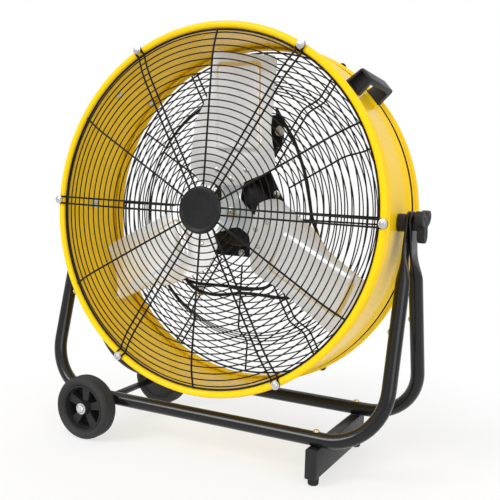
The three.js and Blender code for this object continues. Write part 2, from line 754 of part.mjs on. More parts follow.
// A hand knob with three rounded lobes, one of them straight down.
function knob() {
  const base = rearEarX + earHalfThickness + gap;
  const outline = Array.from({ length: 24 }, (_, i) => {
    const a = (2 * Math.PI * i) / 24;
    const r = 25 + 9.5 * Math.cos(3 * a) - 0.5 * Math.cos(6 * a);
    return [r * Math.cos(a), r * Math.sin(a)];
  });
  const lobes = extrude(polygon(outline), 20, 3).rotateY(90 * deg).translate(base + 7, 0, 0);
  const neck = rodX(13, base, base + 9, 12);
  const bore = rodX(5.6, base - 5, 381, 12);
  return cut(join(lobes, neck), bore);
}

// ---- put together ----------------------------------------------------------------------
add(fan, "front_lower_frame", lowerFrame(-1, frontHalfWidth), blackPaint);
add(fan, "rear_lower_frame", lowerFrame(1, rearHalfWidth), blackPaint);
add(fan, "foot_bar", footBar(), blackPaint);
add(fan, "axle", axle(), blackPaint);
for (const [word, side] of depthSides) {
  add(fan, `foot_bar_${word}_plug`, barPlug(side), blackPlastic);
  add(fan, `foot_bar_${word}_bolt`, barBolt(side), brassZinc);
  add(fan, `${word}_foot`, rubberFoot(side), blackRubber);
  add(fan, `${word}_axle_cap`, axleCap(side), zinc);
  add(fan, `${word}_wheel_hub`, wheelHub(side), blackPlastic);
  add(fan, `${word}_wheel_tyre`, tyre(side), blackRubber);
}
for (const [word, sign] of handSides) {
  add(fan, `front_${word}_leg`, upperLeg(-1, sign, frontHalfWidth, frontEarX), blackPaint);
  add(fan, `rear_${word}_leg`, upperLeg(1, sign, rearHalfWidth, rearEarX), blackPaint);
  const pivot = new THREE.Group();
  pivot.position.z = pivotHeight;
  if (sign < 0) pivot.rotation.z = Math.PI;
  fan.add(pivot);
  add(pivot, `${word}_pivot_spacer`, spacer(), blackPlastic);
  add(pivot, `${word}_pivot_bolt`, pivotBolt(), zinc);
  add(pivot, `${word}_tilt_knob`, knob(), blackPlastic);
}

add(drum, "drum_shell", drumShell(), yellowPaint);
for (const [word, side] of handSides) {
  add(drum, `${word}_handle`, handle(side), blackPlastic);
  add(drum, `${word}_handle_front_screw`, handleScrew(side, handleBoltY[0]), zinc);
  add(drum, `${word}_handle_rear_screw`, handleScrew(side, handleBoltY[1]), zinc);
}

const frontRings = [30, 80, 130, 180, 230, 278, rimWireRadius];
const rearRings = [104, 168, rearPanelRadius, rearStepRadius, rimWireRadius];
add(drum, "front_guard", wireGuard(frontRings, frontGuardAxial), blackPaint);
add(drum, "rear_guard", wireGuard(rearRings, rearGuardAxial), blackPaint);
add(drum, "centre_cap", centreCap(), blackPlastic);
for (let k = 0; k < spokeCount / 2; k++) {
  add(drum, `front_clip_screw_${k + 1}`, clipScrew((k * 4 * Math.PI) / spokeCount), zinc);
}

add(drum, "motor_shell", motorShell(), blackPaint);
add(drum, "motor_rear_bell", motorRearBell(), blackPaint);
add(drum, "motor_plate", motorPlate(), blackPaint);
add(drum, "motor_lead", motorLead(), blackRubber);
add(drum, "switch_box", switchBox(), blackPlastic);
add(drum, "switch_box_clamp", clampPlate(), blackPaint);
add(drum, "clamp_right_screw", clampScrew(clampScrewX), zinc);
add(drum, "clamp_left_screw", clampScrew(-clampScrewX), zinc);
add(drum, "speed_knob", speedKnob(), blackPlastic);
add(drum, "cord_gland", cordGland(), blackPlastic);

const rotor = new THREE.Group();
rotor.position.y = rotorY;
rotor.rotation.y = -bladeTurn * deg;
drum.add(rotor);
add(rotor, "motor_shaft", rod(shaftRadius, -12, 36, 12), zinc);
add(rotor, "hub_plate", hubPlate(), paleSteel);
add(rotor, "hub_nut", hubNut(), brassZinc);
for (let k = 0; k < 3; k++) {
  add(rotor, `blade_${k + 1}`, blade().rotateY(-120 * k * deg), aluminium);
}

export default fan;
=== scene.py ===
# A drum fan on a wheeled stand of bent tube. Metres, +Z up; the air leaves towards -Y.
from math import acos, cos, hypot, pi, radians, sin, sqrt

import bmesh
import bpy
from mathutils import Matrix, Vector


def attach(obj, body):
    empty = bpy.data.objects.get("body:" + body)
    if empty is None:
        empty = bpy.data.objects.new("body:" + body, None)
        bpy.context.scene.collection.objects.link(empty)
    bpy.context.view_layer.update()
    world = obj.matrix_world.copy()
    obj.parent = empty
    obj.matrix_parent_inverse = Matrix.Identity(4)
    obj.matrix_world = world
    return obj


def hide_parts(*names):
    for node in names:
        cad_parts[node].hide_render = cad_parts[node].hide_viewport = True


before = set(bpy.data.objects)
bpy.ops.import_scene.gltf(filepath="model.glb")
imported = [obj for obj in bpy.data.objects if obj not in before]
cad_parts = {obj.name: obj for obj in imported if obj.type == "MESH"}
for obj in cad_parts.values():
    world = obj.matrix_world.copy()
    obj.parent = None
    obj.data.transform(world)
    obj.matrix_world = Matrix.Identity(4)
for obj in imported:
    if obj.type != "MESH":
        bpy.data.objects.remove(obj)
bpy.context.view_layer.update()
scene = bpy.context.scene
scene.view_settings.view_transform = "Standard"


# ---- Camera -----------------------------------------------------------------------------
# It stands low, to the right of the fan's front, where the photograph was taken from, and its
# lens is a little longer than a normal one.
camera = bpy.data.objects.new("camera", bpy.data.cameras.new("camera"))
scene.collection.objects.link(camera)
camera.data.sensor_width = 36
camera.data.lens = 55.1
camera.matrix_world = Matrix((
    (0.88678, -0.07655, 0.45580, 0.70850),
    (0.46124, 0.08368, -0.88332, -1.28607),
    (0.02947, 0.99355, 0.10951, 0.54152),
    (0, 0, 0, 1),
))
scene.camera = camera


# ---- Studio -----------------------------------------------------------------------------
# A white room: an even sky, a broad soft light from the upper left, and weaker ones from the
# right and from low on the left. Bright metal mirrors a sky that darkens towards the floor. The
# floor fades into the sky's white, and keeps the shadow near the fan.
SKY_LEVEL = 0.78
MIRRORED_HEIGHTS, MIRRORED_LEVELS = (-0.25, 0.75), (0.5, 1.6)
FLOOR_RADIUS, FLOOR_FADE, FLOOR_GLOW = 4, (0.35, 0.85), 0.65
WHITE, FLOOR_WHITE = (1, 1, 1, 1), (0.93, 0.93, 0.93, 1)
world = bpy.data.worlds.new("studio")
scene.world = world
world.use_nodes = True
sky = world.node_tree
rays = sky.nodes.new("ShaderNodeLightPath")
seen = sky.nodes.new("ShaderNodeMath")
seen.operation = "ADD"
seen.use_clamp = True
sky.links.new(rays.outputs["Is Camera Ray"], seen.inputs[0])
sky.links.new(rays.outputs["Is Transmission Ray"], seen.inputs[1])
sky_light = sky.nodes["Background"]
sky_light.inputs["Color"].default_value = WHITE
sky_light.inputs["Strength"].default_value = SKY_LEVEL
sky_seen = sky.nodes.new("ShaderNodeBackground")
sky_seen.inputs["Color"].default_value = WHITE
sky_mirrored = sky.nodes.new("ShaderNodeBackground")
upward = sky.nodes.new("ShaderNodeTexCoord")
height = sky.nodes.new("ShaderNodeSeparateXYZ")
rise = sky.nodes.new("ShaderNodeMapRange")
for socket, value in zip(rise.inputs[1:5], (*MIRRORED_HEIGHTS, *MIRRORED_LEVELS)):
    socket.default_value = value
sky.links.new(upward.outputs["Generated"], height.inputs[0])
sky.links.new(height.outputs["Z"], rise.inputs["Value"])
sky.links.new(rise.outputs["Result"], sky_mirrored.inputs["Strength"])
mirror_mix = sky.nodes.new("ShaderNodeMixShader")
sky.links.new(rays.outputs["Is Glossy Ray"], mirror_mix.inputs[0])
sky.links.new(sky_light.outputs[0], mirror_mix.inputs[1])
sky.links.new(sky_mirrored.outputs[0], mirror_mix.inputs[2])
sky_mix = sky.nodes.new("ShaderNodeMixShader")
sky.links.new(seen.outputs[0], sky_mix.inputs[0])
sky.links.new(mirror_mix.outputs[0], sky_mix.inputs[1])
sky.links.new(sky_seen.outputs[0], sky_mix.inputs[2])
sky.links.new(sky_mix.outputs[0], sky.nodes["World Output"].inputs["Surface"])

for name, strength, spread, towards in (
    ("key", 1.3, 24, (0.42, 0.72, -0.62)),
    ("fill", 0.8, 40, (-0.75, 0.55, -0.25)),
    ("low", 0.5, 16, (0.45, 0.80, 0.32)),
):
    lamp = bpy.data.objects.new(name, bpy.data.lights.new(name, "SUN"))
    lamp.data.energy = strength
    lamp.data.angle = radians(spread)
    lamp.rotation_euler = Vector(towards).to_track_quat("-Z", "Y").to_euler()
    scene.collection.objects.link(lamp)

floor_mesh = bmesh.new()
bmesh.ops.create_circle(floor_mesh, cap_ends=True, segments=96, radius=FLOOR_RADIUS)
floor_data = bpy.data.meshes.new("floor")
floor_mesh.to_mesh(floor_data)
floor_mesh.free()
floor = bpy.data.objects.new("floor", floor_data)
scene.collection.objects.link(floor)
floor_paint = bpy.data.materials.new("floor_paint")
floor_paint.use_nodes = True
tree = floor_paint.node_tree
tree.nodes["Principled BSDF"].inputs["Base Color"].default_value = FLOOR_WHITE
tree.nodes["Principled BSDF"].inputs["Roughness"].default_value = 0.9
where = tree.nodes.new("ShaderNodeTexCoord")
far = tree.nodes.new("ShaderNodeVectorMath")
far.operation = "LENGTH"
fade = tree.nodes.new("ShaderNodeMapRange")
fade.interpolation_type = "SMOOTHSTEP"
fade.inputs["From Min"].default_value = FLOOR_FADE[0]
fade.inputs["From Max"].default_value = FLOOR_FADE[1]
fade.inputs["To Min"].default_value = FLOOR_GLOW
glow = tree.nodes.new("ShaderNodeEmission")
merge = tree.nodes.new("ShaderNodeMixShader")
tree.links.new(where.outputs["Object"], far.inputs[0])
tree.links.new(far.outputs["Value"], fade.inputs["Value"])
tree.links.new(fade.outputs["Result"], merge.inputs[0])
tree.links.new(tree.nodes["Principled BSDF"].outputs[0], merge.inputs[1])
tree.links.new(glow.outputs[0], merge.inputs[2])
tree.links.new(merge.outputs[0], tree.nodes["Material Output"].inputs["Surface"])
floor_data.materials.append(floor_paint)


# ---- Drum shell -------------------------------------------------------------------------
# Steel sheet rolled into a ring 680 mm across and sprayed yellow. A bead is rolled round each
# mouth, a wide panel is sunk between low ribs, and a groove near the rear is darkened by a
# near-black ring, which is painted shade in the groove's depth.
DRUM = Matrix.Translation((0, 0, 0.452)) @ Matrix.Rotation(radians(-4), 4, "X")
DRUM_STEPS = 192
# Radii and places along the drum's axis, in mm.
BEAD_RADIUS, BEAD_WIRE = 333.5, 6.5
FRONT_BEAD_Y, REAR_BEAD_Y = -92, 97
WALL, SHEET = 333, 1.6
PANEL_FROM, PANEL_TO, PANEL_SLOPE, PANEL_SUNK = -58, 46, 10, 1.8
# Middle, half width and height of each rib.
RIBS = ((-77, 5, 2.2), (-64, 6, 2.6), (51, 7, 2.4), (65, 6, 1.8), (87, 5, 2.0))
GROOVE_Y, GROOVE_HALF, GROOVE_LIP, GROOVE_FLOOR = 76, 1.4, 332.9, 326.5
# Sides and crest of the near-black ring that paints shade into the groove, in mm.
SHADE_RING_SIDE, SHADE_RING_CREST = ((326.8, 1.2), (333.2, 1.2), (334.4, 1.8)), 335.2


def surface(name, dark, light, rough, patches=6, grain=700, bump=0.1, metallic=0, coat=0,
            shine=0.2):
    """A finish with a slow drift of colour, a change of sheen and, with a bump, a fine grain."""
    middle, whole, coat_sheen, sheen_finer, grain_depth = (0.3, 0.7), (0, 1), 0.06, 9, 0.0004
    material = bpy.data.materials.new(name)
    material.use_nodes = True
    nodes, links = material.node_tree.nodes, material.node_tree.links
    shader = nodes["Principled BSDF"]
    shader.inputs["Metallic"].default_value = metallic
    shader.inputs["Specular IOR Level"].default_value = shine
    shader.inputs["Coat Weight"].default_value = coat
    shader.inputs["Coat Roughness"].default_value = coat_sheen
    place = nodes.new("ShaderNodeTexCoord")

    def cloud(scale, heard, told):
        """Soft noise, of which one span of values is stretched over another."""
        noise, span = nodes.new("ShaderNodeTexNoise"), nodes.new("ShaderNodeMapRange")
        noise.inputs["Scale"].default_value = scale
        noise.inputs["Detail"].default_value = 4
        for socket, value in zip(span.inputs[1:5], (*heard, *told)):
            socket.default_value = value
        links.new(place.outputs["Object"], noise.inputs["Vector"])
        links.new(noise.outputs[0], span.inputs["Value"])
        return span.outputs["Result"]

    tint = nodes.new("ShaderNodeMix")
    tint.data_type = "RGBA"
    tint.inputs[6].default_value = (*dark, 1)
    tint.inputs[7].default_value = (*light, 1)
    links.new(cloud(patches, middle, whole), tint.inputs[0])
    links.new(tint.outputs[2], shader.inputs["Base Color"])
    links.new(cloud(patches * sheen_finer, middle, rough), shader.inputs["Roughness"])
    if not bump:
        return material
    relief = nodes.new("ShaderNodeBump")
    relief.inputs["Strength"].default_value = bump
    relief.inputs["Distance"].default_value = grain_depth
    links.new(cloud(grain, whole, whole), relief.inputs["Height"])
    links.new(relief.outputs["Normal"], shader.inputs["Normal"])
    return material


def turn(outline, steps=96):
    """A round solid about the Y axis from corners (radius, y) in mm."""
    bm = bmesh.new()
    corners = [bm.verts.new((r / 1000, y / 1000, 0)) for r, y in outline]
    ends = [] if outline[0][0] == 0 else [(corners[-1], corners[0])]
    edges = [bm.edges.new(pair) for pair in [*zip(corners, corners[1:]), *ends]]
    bmesh.ops.spin(bm, geom=corners + edges, cent=(0, 0, 0), axis=(0, 1, 0),
                   angle=2 * pi, steps=steps, use_merge=True)
    bmesh.ops.remove_doubles(bm, verts=bm.verts, dist=1e-6)
    bmesh.ops.recalc_face_normals(bm, faces=bm.faces)
    return bm


def soften(bm, width, segments=2, over=30):
    """Rounds every edge whose faces meet at more than an angle."""
    sharp = [e for e in bm.edges if e.is_manifold and e.calc_face_angle(0) > radians(over)]
    bmesh.ops.bevel(bm, geom=sharp, offset=width / 1000, segments=segments, profile=0.5,
                    affect="EDGES", clamp_overlap=True, material=-1)
    return bm


def join(whole, part, place=Matrix()):
    """Adds a part to a mesh at its place."""
    bmesh.ops.transform(part, matrix=place, verts=part.verts)
    mesh = bpy.data.meshes.new("part")
    part.to_mesh(mesh)
    part.free()
    whole.from_mesh(mesh)
    bpy.data.meshes.remove(mesh)
    return whole


def piece(name, bm, body, material, slot, *nodes, place=Matrix(), crease=35):
    """The finished object: it rides on a body and stands for CAD nodes."""
    bmesh.ops.transform(bm, matrix=place, verts=bm.verts)
    mesh = bpy.data.meshes.new(name)
    bm.to_mesh(mesh)
    bm.free()
    mesh.shade_smooth()
    mesh.set_sharp_from_angle(angle=radians(crease))
    mesh.materials.append(material)
    made = bpy.data.objects.new(name, mesh)
    scene.collection.objects.link(made)
    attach(made, body)
    if nodes:
        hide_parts(*nodes)
    return made


def hoop(bm, radius, y, wire, steps=128, sides=8):
    """A round wire bent into a ring about the Y axis, in mm."""
    ring = bmesh.new()
    bmesh.ops.create_circle(ring, segments=sides, radius=wire / 1000,
                            matrix=Matrix.Translation((radius / 1000, y / 1000, 0)))
    bmesh.ops.spin(ring, geom=ring.verts[:] + ring.edges[:], cent=(0, 0, 0), axis=(0, 1, 0),
                   angle=2 * pi, steps=steps, use_merge=True)
    join(bm, ring)


yellow_enamel = surface("yellow_enamel", (0.93, 0.59, 0.004), (0.96, 0.625, 0.006),
                        (0.18, 0.23), patches=2, bump=0, shine=0.14)


def ease(x):
    """A smooth step from 0 to 1."""
    x = min(1.0, max(0.0, x))
    return x * x * (3 - 2 * x)


def wall_radius(y):
    """Ribs rise from the wall, and a wide panel is sunk in its middle."""
    r = WALL - (PANEL_SUNK * ease((y - PANEL_FROM) / PANEL_SLOPE)
                * ease((PANEL_TO - y) / PANEL_SLOPE))
    for middle, half, high in RIBS:
        r += high * ease(1 - abs(y - middle) / half)
    return r


front_wall = [(wall_radius(y), y) for y in range(FRONT_BEAD_Y + 2, GROOVE_Y - 2, 2)]
rear_wall = [(wall_radius(y), y) for y in range(GROOVE_Y + 4, REAR_BEAD_Y - 1, 2)]
groove = [(GROOVE_LIP, GROOVE_Y - GROOVE_HALF), (GROOVE_FLOOR, GROOVE_Y - GROOVE_HALF),
          (GROOVE_FLOOR, GROOVE_Y + GROOVE_HALF), (GROOVE_LIP, GROOVE_Y + GROOVE_HALF)]
outer = front_wall + groove + rear_wall
shell = turn(outer + [(min(r, WALL) - SHEET, y) for r, y in reversed(outer)], DRUM_STEPS)
for bead_y in (FRONT_BEAD_Y, REAR_BEAD_Y):
    hoop(shell, BEAD_RADIUS, bead_y, BEAD_WIRE, steps=DRUM_STEPS, sides=24)
bmesh.ops.recalc_face_normals(shell, faces=shell.faces)
piece("yellow_drum", shell, "drum", yellow_enamel, "yellow_paint", "drum_shell", place=DRUM)
# A near-black ring laid in the groove is painted shade: it darkens the groove's depth.
painted_groove_shade = surface("painted_groove_shade", (0.006, 0.005, 0.004), (0.010, 0.008, 0.006), (0.6, 0.7),
                      patches=20, grain=900, bump=0.02)
shade_ring = turn([(r, GROOVE_Y - y) for r, y in SHADE_RING_SIDE] + [(SHADE_RING_CREST, GROOVE_Y)]
             + [(r, GROOVE_Y + y) for r, y in reversed(SHADE_RING_SIDE)], DRUM_STEPS)
piece("groove_shade_ring", shade_ring, "drum", painted_groove_shade, "black_rubber", place=DRUM)


# ---- Carrying handles -------------------------------------------------------------------
# Two moulded bridges of black plastic with rounded edges and hollow legs, and a finger gap
# between these. Each is held by two screws whose round heads show inside the drum.
HANDLE_TURN, HANDLE_SCREWS_Y, HEAD_SEAT = radians(48), (-46, 66), 329.4
# The finger gap is cut longer than the solid's by a box at each end, its sizes in metres.
GAP_ENDS_Y, GAP_MIDDLE, GAP_END_SIZE = (-29, 49), 0.3426, (0.05, 0.018, 0.0326, 1)
black_plastic = surface("black_plastic", (0.015, 0.015, 0.016), (0.023, 0.023, 0.024),
                        (0.38, 0.5), patches=20, grain=1800, bump=0.15)
bright_zinc = surface("bright_zinc", (0.55, 0.55, 0.55), (0.72, 0.72, 0.70), (0.22, 0.36),
                      patches=60, grain=2500, bump=0.05, metallic=1)


def softened(node, width, segments=3):
    """A CAD solid with its corners merged, its flats made whole and its edges rounded."""
    bm = bmesh.new()
    bm.from_mesh(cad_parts[node].data)
    bmesh.ops.remove_doubles(bm, verts=bm.verts, dist=2e-5)
    bmesh.ops.dissolve_limit(bm, angle_limit=radians(1), verts=bm.verts, edges=bm.edges)
    return soften(bm, width, segments)


def dome(radius, height, collar=0.0, collar_height=0.0):
    """A domed head on a collar, standing towards -Y, in mm."""
    outline = [(0, 0)]
    if collar:
        outline += [(collar, 0), (collar, -collar_height)]
    outline += [(radius, -collar_height), (radius * 0.97, -collar_height - height * 0.45),
                (radius * 0.72, -collar_height - height * 0.85), (0, -collar_height - height)]
    return soften(turn(outline, 28), 0.25, 2, over=35)


def carved(body, cutter):
    """The body with the cutter's volume taken out."""
    objects = []
    for bm in (body, cutter):
        mesh = bpy.data.meshes.new("carving")
        bm.to_mesh(mesh)
        bm.free()
        objects.append(bpy.data.objects.new("carving", mesh))
        scene.collection.objects.link(objects[-1])
    step = objects[0].modifiers.new("carve", "BOOLEAN")
    step.object, step.operation, step.solver = objects[1], "DIFFERENCE", "EXACT"
    bpy.context.view_layer.update()
    seen_by = bpy.context.evaluated_depsgraph_get()
    mesh = bpy.data.meshes.new_from_object(objects[0].evaluated_get(seen_by))
    bm = bmesh.new()
    bm.from_mesh(mesh)
    for thing in objects:
        bpy.data.objects.remove(thing)
    return bm


HANDS = (("right", 1), ("left", -1))
screw_heads = bmesh.new()
for word, side in HANDS:
    a = HANDLE_TURN * side
    outward = Matrix.Rotation(a, 4, "Y")
    for y in HANDLE_SCREWS_Y:
        spot = Vector((HEAD_SEAT * sin(a), y, HEAD_SEAT * cos(a))) / 1000
        join(screw_heads, dome(6, 3.2),
             Matrix.Translation(spot) @ outward @ Matrix.Rotation(radians(90), 4, "X"))
    gap = bmesh.new()
    for y in GAP_ENDS_Y:
        bmesh.ops.create_cube(gap, size=1, matrix=DRUM @ outward
                              @ Matrix.Translation((0, y / 1000, GAP_MIDDLE))
                              @ Matrix.Diagonal(GAP_END_SIZE))
    handle = soften(carved(softened(f"{word}_handle", 0.2, 1), gap), 1.2, 3, over=50)
    piece(f"{word}_carrying_handle", handle, "drum", black_plastic, "black_plastic",
          f"{word}_handle")
piece("handle_screw_heads", screw_heads, "drum", bright_zinc, "zinc",
      *[f"{word}_handle_{end}_screw" for word, _ in HANDS for end in ("front", "rear")],
      place=DRUM)


# ---- Wire guards ------------------------------------------------------------------------
# Two nets of round wire, spot welded and coated black: close rings on twelve spokes. Every
# second spoke is a hairpin, bent round a screw on the bead. The rear net steps down a cone to
# a flat middle that carries the motor.
guard_black = surface("guard_black", (0.005, 0.005, 0.006), (0.009, 0.009, 0.010),
                      (0.25, 0.38), patches=25, grain=900, bump=0.05, shine=0.15)
RING_WIRE, SPOKE_WIRE, RIM_WIRE = 1.2, 1.8, 1.9
RIM, CLIP_RADIUS, HAIRPIN, SPOKES = 325, 335.6, 6.5, 12
FRONT_FLAT_Y, CURL_FROM, CURL_DEPTH, OVER_BEAD = -107, 262, 13, 6.4
REAR_FLAT_Y, CONE_FROM, CONE_TO, CONE_DEPTH = 62, 226, 268, 43.3
FRONT_MIDDLE, REAR_MIDDLE, RING_STEP = 34, 106, 12.1


def bent_wire(bm, points, radius, sides=10):
    """Round wire or tube through points in mm, closed at its ends."""
    curve = bpy.data.curves.new("route", "CURVE")
    curve.dimensions = "3D"
    curve.bevel_depth = radius / 1000
    curve.bevel_resolution = (sides - 4) // 2
    curve.use_fill_caps = True
    spline = curve.splines.new("POLY")
    spline.points.add(len(points) - 1)
    for knot, (x, y, z) in zip(spline.points, points):
        knot.co = (x / 1000, y / 1000, z / 1000, 1)
    route = bpy.data.objects.new("route", curve)
    mesh = bpy.data.meshes.new_from_object(route)
    bm.from_mesh(mesh)
    bpy.data.objects.remove(route)
    bpy.data.curves.remove(curve)
    bpy.data.meshes.remove(mesh)


def front_depth(r):
    """Flat, then curled back into the bead's mouth; a hairpin goes on over the bead."""
    curl = CURL_DEPTH * max(0, (min(r, RIM) - CURL_FROM) / (RIM - CURL_FROM)) ** 2
    return FRONT_FLAT_Y + curl - OVER_BEAD * ease((r - RIM + 1) / 4.5)


def rear_depth(r):
    """Flat in the middle, then down a cone to the rear bead."""
    return REAR_FLAT_Y + CONE_DEPTH * ease((r - CONE_FROM) / (CONE_TO - CONE_FROM))


def net(depth, rings, inner, stations, behind):
    """Rings, set behind the spokes, and spokes of one guard, in the drum's own frame."""
    bm = bmesh.new()
    for r in rings:
        hoop(bm, r, depth(r) + behind, RING_WIRE)
    hoop(bm, RIM, depth(RIM) + behind * 1.4, RIM_WIRE)
    for k in range(SPOKES):
        angle = radians(360 / SPOKES * k)
        reach = [r for r in stations if r > inner]
        if k % 2:
            plan = [(r, 0) for r in [inner, *reach, RIM]]
        else:
            out = [(r, HAIRPIN) for r in [inner, *reach, RIM, RIM + 2, RIM + 4, CLIP_RADIUS]]
            bend = [(CLIP_RADIUS + HAIRPIN * sin(radians(t)), HAIRPIN * cos(radians(t)))
                    for t in range(20, 180, 20)]
            plan = out + bend + [(r, -v) for r, v in reversed(out)]
        bent_wire(bm, [(r * cos(angle) - v * sin(angle), depth(r),
                        r * sin(angle) + v * cos(angle)) for r, v in plan], SPOKE_WIRE)
    return bm


front_rings = [52.9 + RING_STEP * k for k in range(23)]
FRONT_TURN = Matrix.Rotation(radians(0.67), 4, "Y")
rear_rings = ([REAR_MIDDLE + RING_STEP * k for k in range(11)] + [241, 247.4, 253.8, 260.2]
              + [CONE_TO + 11.6 * k for k in range(5)])
front_net = net(front_depth, front_rings, FRONT_MIDDLE, range(CURL_FROM, RIM, 7), behind=2.4)
piece("front_guard_net", front_net, "drum", guard_black, "black_paint", "front_guard",
      place=DRUM @ FRONT_TURN, crease=60)
rear_net = net(rear_depth, rear_rings, REAR_MIDDLE, range(CONE_FROM, CONE_TO + 1, 6), behind=0.9)
piece("rear_guard_net", rear_net, "drum", guard_black, "black_paint", "rear_guard",
      place=DRUM, crease=60)


# ---- Guard screws -----------------------------------------------------------------------
# Zinc plated screws on broad washers clamp each hairpin to the beads, six at the front and
# six at the rear.
FRONT_CLIP_Y, REAR_CLIP_Y, WASHER = -0.1023, 0.1071, (8, 1.4)
front_screws, rear_screws = bmesh.new(), bmesh.new()
for k in range(6):
    a = radians(60 * k)
    out = Vector((CLIP_RADIUS * cos(a), 0, CLIP_RADIUS * sin(a))) / 1000
    front = FRONT_TURN @ Matrix.Translation(out + Vector((0, FRONT_CLIP_Y, 0)))
    rear = Matrix.Translation(out + Vector((0, REAR_CLIP_Y, 0))) @ Matrix.Rotation(pi, 4, "X")
    join(front_screws, dome(5.2, 3.1, *WASHER), front)
    join(rear_screws, dome(5.2, 3.1, *WASHER), rear)
piece("front_guard_screws", front_screws, "drum", bright_zinc, "zinc",
      *[f"front_clip_screw_{k}" for k in range(1, 7)], place=DRUM)
piece("rear_guard_screws", rear_screws, "drum", bright_zinc, "zinc", place=DRUM)


# ---- Centre cap -------------------------------------------------------------------------
# A moulded disc on the middle of the front guard, with a raised round rim. Its sunk face
# is left bare.
cap_face = surface("cap_face", (0.007, 0.007, 0.008), (0.011, 0.011, 0.012), (0.26, 0.34),
                   patches=30, grain=1500, bump=0.04, shine=0.25)
cap = turn([(0, -108.9), (40.5, -108.9), (43, -111.4), (43, -115), (40.5, -117.6),
            (37.5, -117.6), (35, -115.4), (0, -115.4)], 96)
soften(cap, 1.1, 4, over=25)
piece("guard_cap", cap, "drum", cap_face, "black_plastic", "centre_cap", place=DRUM)


# ---- Blades -----------------------------------------------------------------------------
# Three blades of 2 mm aluminium sheet with a shallow curve and a raised panel that lies a
# little askew. They lose pitch towards the tips, and three rivets hold each to the hub.
BLADE_TURN, ROTOR_Y = 85.3, 5
TIP, ROOT, FLAT = 302, 52, 100
PITCH, PITCH_LOST, CAMBER, SET_BACK = 18.5, 6, 9, 4
PANEL_R, PANEL_S, PANEL_LEAN = 200.5, 13.3, radians(7.3)
PANEL_LONG, PANEL_WIDE, PANEL_CORNER, PANEL_HIGH, PANEL_SIDE = 72, 32, 13, 6, 7.5


def blade_edges(r):
    """Where the leading and the trailing edge lie across the blade at radius r."""
    leading = (-72 + 18 * ease((r - 88) / 90) + 0.04 * max(0, r - 178)) * ease((r - 40) / 56)
    trailing = (93 - 17 * ease((r - 155) / 65)) * sqrt(ease((r - 26) / 64))
    rounding = 12 * (1 - sqrt(max(0, 1 - max(0, (r - 288) / 15) ** 2)))
    return leading + rounding, trailing - rounding


def blade_point(r, s, lift):
    """A point at radius r and s across the blade, lifted off its middle, in mm."""
    leading, trailing = blade_edges(max(r, FLAT))
    across = (2 * s - leading - trailing) / (trailing - leading)
    n = (CAMBER * (1 - across * across) - SET_BACK) * ease((r - FLAT) / 40) - lift
    a = radians(PITCH - PITCH_LOST * max(0, (r - FLAT) / (TIP - FLAT)))
    return Vector((r, n * cos(a) - s * sin(a), s * cos(a) + n * sin(a)))


def panel_lift(r, s):
    """The raised panel is a rounded rectangle with sloping sides."""
    r, s, c, d = r - PANEL_R, s - PANEL_S, cos(PANEL_LEAN), sin(PANEL_LEAN)
    u = abs(r * c + s * d) - PANEL_LONG
    v = abs(s * c - r * d) - PANEL_WIDE
    outside = hypot(max(u, 0), max(v, 0)) + min(max(u, v), 0) - PANEL_CORNER
    return PANEL_HIGH * ease(-outside / PANEL_SIDE)


def rotor_place(k):
    """From a blade's own frame, with the blade along +X, to its place in the drum."""
    return (DRUM @ Matrix.Translation((0, ROTOR_Y / 1000, 0))
            @ Matrix.Rotation(radians(-BLADE_TURN - 120 * k), 4, "Y"))


for k in range(3):
    blade = bmesh.new()
    bmesh.ops.create_grid(blade, x_segments=96, y_segments=56, size=0.5)
    for v in blade.verts:
        share, across = v.co.x + 0.5, v.co.y + 0.5
        r = ROOT + (TIP - ROOT) * share
        leading, trailing = blade_edges(r)
        s = leading + (trailing - leading) * across
        r -= 0.15 * s * (1 - share) ** 6
        v.co = blade_point(r, s, panel_lift(r, s) + 1) / 1000
    bmesh.ops.recalc_face_normals(blade, faces=blade.faces)
    if sum((f.normal.y for f in blade.faces)) > 0:
        bmesh.ops.reverse_faces(blade, faces=blade.faces)
    bmesh.ops.solidify(blade, geom=blade.faces, thickness=0.002)
    bmesh.ops.recalc_face_normals(blade, faces=blade.faces)
    sheet = surface(f"blade_sheet_{k + 1}", (0.80, 0.80, 0.79), (0.85, 0.85, 0.84),
                    (0.30, 0.35), patches=4, bump=0, metallic=0.65)
    piece(f"rotor_blade_{k + 1}", blade, "rotor", sheet, "aluminium", f"blade_{k + 1}",
          place=rotor_place(k), crease=50)


# ---- Hub plate and rivets ---------------------------------------------------------------
# One pressed plate with three arms that twist to the blades' pitch and run behind their
# roots. A brass coloured nut clamps it to the motor shaft.
plated_steel = surface("plated_steel", (0.54, 0.58, 0.58), (0.62, 0.66, 0.655), (0.30, 0.42),
                       patches=14, grain=900, bump=0.05, metallic=0.6)
brass_zinc = surface("brass_zinc", (0.58, 0.47, 0.27), (0.74, 0.64, 0.42), (0.25, 0.38),
                     patches=50, grain=1500, bump=0.06, metallic=1)
PLATE_MIDDLE, ARM_REACH, PLATE_LIFT = 30, 94, 1.3
plate = turn([(0, 0)] + [(r, 0) for r in range(7, PLATE_MIDDLE + 1)], 240)
for v in plate.verts:
    r = hypot(v.co.x, v.co.z) * 1000
    if r < 1:
        continue
    angle = acos(max(-1.0, min(1.0, v.co.x * 1000 / r))) * (1 if v.co.z >= 0 else -1)
    arm = round(angle / radians(120)) * radians(120)
    off = angle - arm
    reach = float(PLATE_MIDDLE)
    for _ in range(6):
        widen = max(0.0, (reach - ROOT) / (ARM_REACH - ROOT))
        edge = (26 + 21 * widen) if off >= 0 else (13 + 14 * widen)
        side = max(edge / max(sin(abs(off)), 0.05), 1)
        reach = min(ARM_REACH, (PLATE_MIDDLE ** 8 + side ** 8) ** 0.125)
    r *= reach / PLATE_MIDDLE
    near, across = r * cos(off), r * sin(off)
    front = Vector((near, PLATE_LIFT, across))
    front = front.lerp(blade_point(near, across, -PLATE_LIFT), ease((near - 24) / 20))
    v.co = Matrix.Rotation(-arm, 4, "Y") @ (Vector((near, front.y, across)) / 1000)
bmesh.ops.recalc_face_normals(plate, faces=plate.faces)
